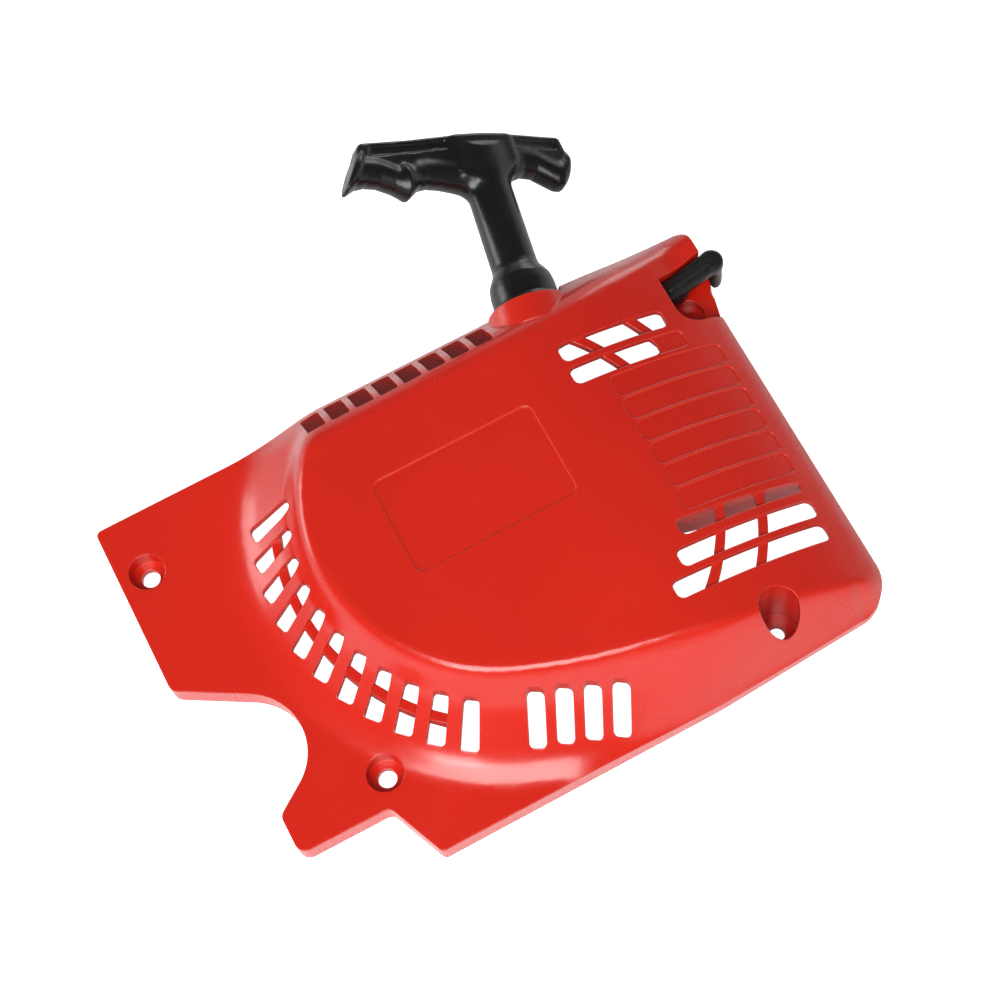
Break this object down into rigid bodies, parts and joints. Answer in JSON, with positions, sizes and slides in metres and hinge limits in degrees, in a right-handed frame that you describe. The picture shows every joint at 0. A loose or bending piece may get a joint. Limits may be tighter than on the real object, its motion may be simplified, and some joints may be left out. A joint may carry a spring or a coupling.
{
  "type": "recoil starter",
  "caption": "Pull starter of a small engine: vented moulded fan housing holding a sprung rope reel, with a rope spout and a T-shaped handle.",
  "frame": {"origin": "on the crankshaft axis, in the plane of the mounting rim", "axes": "+Z away from the engine, +X along the long edge towards the grille, +Y towards the edge that the rope leaves from"},
  "size_m": [0.2324, 0.2227, 0.0512],
  "materials": {
    "housing_plastic": "glossy moulded red nylon",
    "grip_plastic": "black moulded plastic with a soft sheen",
    "strap_rubber": "black rubber, satin",
    "reel_plastic": "black glass-filled nylon",
    "cassette_plastic": "black moulded nylon",
    "rope_nylon": "braided nylon rope, off-white with dark tracers",
    "spring_steel": "blue-grey spring strip",
    "plated_steel": "zinc-plated steel",
    "bush_brass": "turned brass"
  },
  "bodies": {
    "housing": {"starter_housing": "housing_plastic", "rope_eyelet": "plated_steel", "hub_insert": "bush_brass", "hub_sleeve": "plated_steel", "spring_cassette": "cassette_plastic", "recoil_spring": "spring_steel", "spring_cover": "plated_steel", "thrust_washer": "plated_steel", "retaining_washer": "plated_steel", "retaining_screw": "plated_steel", "cassette_screws": "plated_steel", "corner_strap": "strap_rubber"},
    "reel": {"rope_reel": "reel_plastic", "reel_bush": "bush_brass", "rope_wound": "rope_nylon", "reel_knot": "rope_nylon"},
    "rope_end": {"rope_run": "rope_nylon", "handle_knot": "rope_nylon"},
    "handle": {"handle_grip": "grip_plastic", "knot_washer": "plated_steel", "handle_plug": "grip_plastic"}
  },
  "joints": [
    {"name": "handle_pull", "type": "slide", "parent": "housing", "child": "rope_end", "axis": [0.1908, 0.9816, 0], "range_m": [0, 0.8], "stiffness_N_per_m": 15, "springref_m": -0.6, "deforming": ["rope_run"]},
    {"name": "reel_spin", "type": "hinge", "parent": "housing", "child": "reel", "pos_m": [0, 0, 0], "axis": [0, 0, 1], "range_deg": [0, 1960], "deforming": ["recoil_spring"]},
    {"name": "handle_swivel", "type": "hinge", "parent": "rope_end", "child": "handle", "pos_m": [0.0393, 0.0595, 0.021], "axis": [0.1908, 0.9816, 0], "range_deg": [-90, 90]}
  ],
  "couplings": [
    {"joint": "reel_spin", "follows": "handle_pull", "rad_per_m": 42.55}
  ]
}
